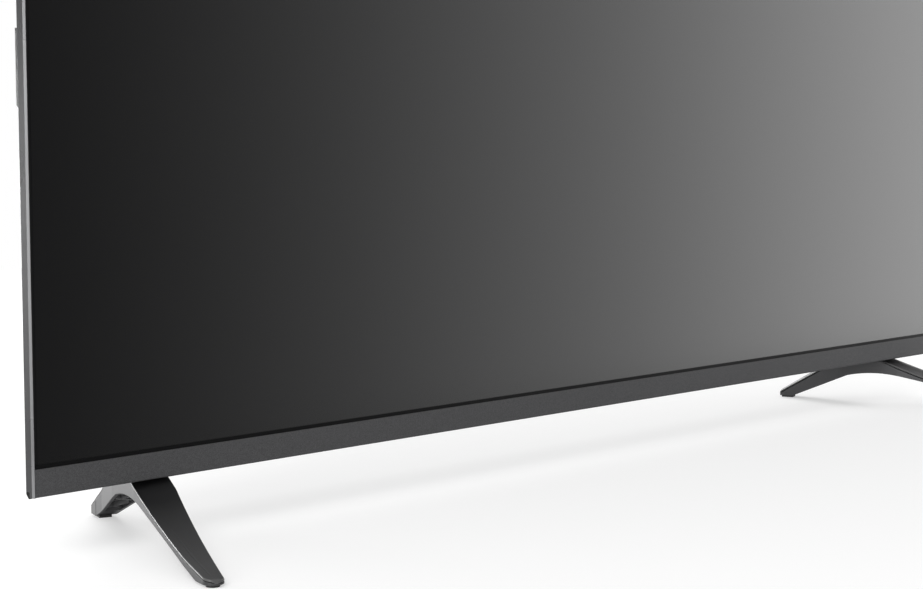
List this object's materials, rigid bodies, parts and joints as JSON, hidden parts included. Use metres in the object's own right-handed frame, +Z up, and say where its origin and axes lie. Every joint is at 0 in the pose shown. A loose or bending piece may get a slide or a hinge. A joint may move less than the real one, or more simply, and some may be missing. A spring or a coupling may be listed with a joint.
{
  "type": "flat screen television",
  "caption": "Flat screen television on splayed feet, with a slim metal frame, a rear housing, connector bays, a control joystick and wall mount points.",
  "frame": {"origin": "centre of the footprint on the floor, which is the bottom centre of the bounding box", "axes": "+X to the right of someone who faces the screen, +Y to the back, +Z up; the screen faces -Y"},
  "size_m": [0.9646, 0.21, 0.601],
  "materials": {
    "panel_glass": "gloss",
    "screen_film": "gloss",
    "frame_metal": "satin",
    "bezel_metal": "satin",
    "lip_plastic": "satin",
    "cover_plastic": "matte",
    "foot_plastic": "satin",
    "foot_cover_plastic": "satin",
    "pad_rubber": "matte",
    "pan_steel": "satin",
    "bracket_steel": "satin",
    "screw_steel": "satin",
    "inner_plastic": "matte",
    "white_sheet": "matte",
    "milky_plate": "satin",
    "foam_tape": "matte",
    "led_bar_metal": "matte",
    "lens_plastic": "gloss",
    "board_green": "satin",
    "board_yellow": "satin",
    "flex_amber": "satin",
    "ribbon_white": "satin",
    "wire_black": "satin",
    "transformer_wound": "satin",
    "capacitor_sleeve": "satin",
    "sink_aluminium": "satin",
    "socket_steel": "satin",
    "socket_black": "satin",
    "insert_steel": "satin",
    "speaker_plastic": "matte",
    "cone_paper": "matte",
    "stick_plastic": "satin",
    "sensor_window_plastic": "gloss"
  },
  "bodies": {
    "television": {"lcd_cell": "panel_glass", "front_polariser": "screen_film", "cell_tape": "foam_tape", "mid_frame": "inner_plastic", "prism_sheet": "milky_plate", "diffusing_sheet": "white_sheet", "diffuser_plate": "milky_plate", "reflector_sheet": "white_sheet", "led_bars": "led_bar_metal", "led_lenses": "lens_plastic", "back_pan": "pan_steel", "side_frame_right": "frame_metal", "side_frame_left": "frame_metal", "top_frame": "frame_metal", "bottom_bezel": "bezel_metal", "bezel_lip_strip": "lip_plastic", "corner_caps": "lip_plastic", "frame_screws": "screw_steel", "sensor_window": "sensor_window_plastic", "sensor_board": "board_green", "rear_cover": "cover_plastic", "rear_cover_screws": "screw_steel", "wall_mount_rails": "bracket_steel", "wall_mount_inserts": "insert_steel", "power_board": "board_yellow", "power_transformers": "transformer_wound", "bulk_capacitors": "capacitor_sleeve", "power_heat_sinks": "sink_aluminium", "ac_inlet": "socket_black", "main_board": "board_green", "processor_heat_sink": "sink_aluminium", "tuner_can": "socket_steel", "aerial_socket": "socket_steel", "hdmi_ports": "socket_steel", "usb_ports": "socket_steel", "lan_port": "socket_steel", "audio_jacks": "socket_black", "timing_board": "board_green", "board_screws": "screw_steel", "panel_driver_boards": "board_green", "panel_flexes": "flex_amber", "panel_cable": "ribbon_white", "power_cable": "wire_black", "speaker_cables": "wire_black", "speaker_box_right": "speaker_plastic", "speaker_box_left": "speaker_plastic", "joystick_board": "board_green", "joystick_socket": "inner_plastic", "stand_brackets": "bracket_steel", "foot_left": "foot_plastic", "foot_right": "foot_plastic", "foot_cover_left": "foot_cover_plastic", "foot_cover_right": "foot_cover_plastic", "foot_pads": "pad_rubber", "foot_screws": "screw_steel"},
    "joystick_ring": {"joystick_ring": "inner_plastic"},
    "joystick_stem": {"joystick_stem": "inner_plastic"},
    "joystick_cap": {"joystick_cap": "stick_plastic"},
    "speaker_cone_right": {"speaker_cone_right": "cone_paper"},
    "speaker_cone_left": {"speaker_cone_left": "cone_paper"}
  },
  "joints": [
    {"name": "joystick_tilt_up_down", "type": "hinge", "parent": "television", "child": "joystick_ring", "pos_m": [-0.43635, 0.0401, 0.28], "axis": [1, 0, 0], "range_deg": [-6, 6], "stiffness_Nm_per_rad": 0.1},
    {"name": "joystick_tilt_left_right", "type": "hinge", "parent": "joystick_ring", "child": "joystick_stem", "pos_m": [-0.43635, 0.0401, 0.28], "axis": [0, 0, 1], "range_deg": [-6, 6], "stiffness_Nm_per_rad": 0.1},
    {"name": "joystick_press", "type": "slide", "parent": "joystick_stem", "child": "joystick_cap", "axis": [0, -1, 0], "range_m": [0, 0.0006], "stiffness_N_per_m": 3000},
    {"name": "speaker_cone_right_stroke", "type": "slide", "parent": "television", "child": "speaker_cone_right", "axis": [0, 0, 1], "range_m": [-0.0008, 0.0008], "stiffness_N_per_m": 1000},
    {"name": "speaker_cone_left_stroke", "type": "slide", "parent": "television", "child": "speaker_cone_left", "axis": [0, 0, 1], "range_m": [-0.0008, 0.0008], "stiffness_N_per_m": 1000}
  ]
}
